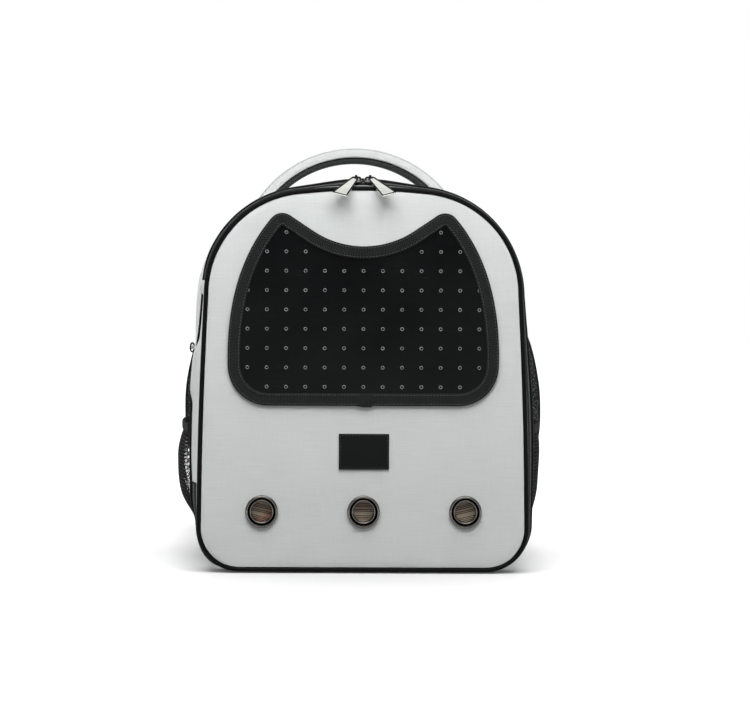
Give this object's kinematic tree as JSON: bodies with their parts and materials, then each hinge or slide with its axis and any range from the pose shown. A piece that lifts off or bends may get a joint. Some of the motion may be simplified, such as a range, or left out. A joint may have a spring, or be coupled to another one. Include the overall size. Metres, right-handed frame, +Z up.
{
  "type": "pet carrier backpack",
  "caption": "Upright soft backpack for carrying a pet, with a zip-round door, a cat-head smoked window with vent holes, metal eyelets, net side pockets and a top handle.",
  "frame": {"origin": "on the floor, under the middle of the door's width, at the middle of the flat base", "axes": "+Z up, -Y out of the door, +X to the right of someone facing the door"},
  "size_m": [0.4179, 0.3064, 0.45],
  "materials": {
    "shell_cloth": "light grey plain weave, matt",
    "handle_cloth": "pale grey cloth over padding, matt",
    "piping": "black bound cord, satin",
    "smoked_film": "dark smoked film, glossy",
    "woven_tape": "black twill tape, matt",
    "label_cloth": "black woven label, bare",
    "eyelet_metal": "gunmetal plating, polished",
    "striped_lining": "brown cloth with dark stripes",
    "zip_tape": "black zip tape with a nylon coil",
    "zip_metal": "nickel plating, bright",
    "black_cloth": "black padded cloth, matt",
    "net": "black open net",
    "elastic": "black woven elastic",
    "ring_wire": "black wire",
    "buckle_plastic": "black moulded plastic"
  },
  "bodies": {
    "bag": {"door_panel": "shell_cloth", "door_hinge": "shell_cloth", "gusset": "shell_cloth", "ring_tab": "shell_cloth", "handle_pad": "handle_cloth", "door_piping": "piping", "body_piping": "piping", "window_film": "smoked_film", "window_tape": "woven_tape", "handle_webbing": "woven_tape", "strap_webbing_left": "woven_tape", "strap_webbing_right": "woven_tape", "label_patch": "label_cloth", "eyelet_left": "eyelet_metal", "eyelet_middle": "eyelet_metal", "eyelet_right": "eyelet_metal", "vent_lining": "striped_lining", "zip_band": "zip_tape", "zip_slider_left": "zip_metal", "zip_slider_right": "zip_metal", "base_panel": "black_cloth", "back_panel": "black_cloth", "strap_left": "black_cloth", "strap_right": "black_cloth", "pocket_left": "net", "pocket_right": "net", "pocket_hem_left": "elastic", "pocket_hem_right": "elastic", "side_ring": "ring_wire", "strap_buckle_left": "buckle_plastic", "strap_buckle_right": "buckle_plastic"},
    "zip_pull_left": {"zip_pull_left": "zip_metal"},
    "zip_pull_right": {"zip_pull_right": "zip_metal"}
  },
  "joints": [
    {"name": "zip_pull_left_swing", "type": "hinge", "parent": "bag", "child": "zip_pull_left", "pos_m": [-0.0073, -0.10825, 0.41075], "axis": [-1, 0, 0], "range_deg": [0, 200]},
    {"name": "zip_pull_right_swing", "type": "hinge", "parent": "bag", "child": "zip_pull_right", "pos_m": [0.0073, -0.10825, 0.41075], "axis": [-1, 0, 0], "range_deg": [0, 200]}
  ]
}
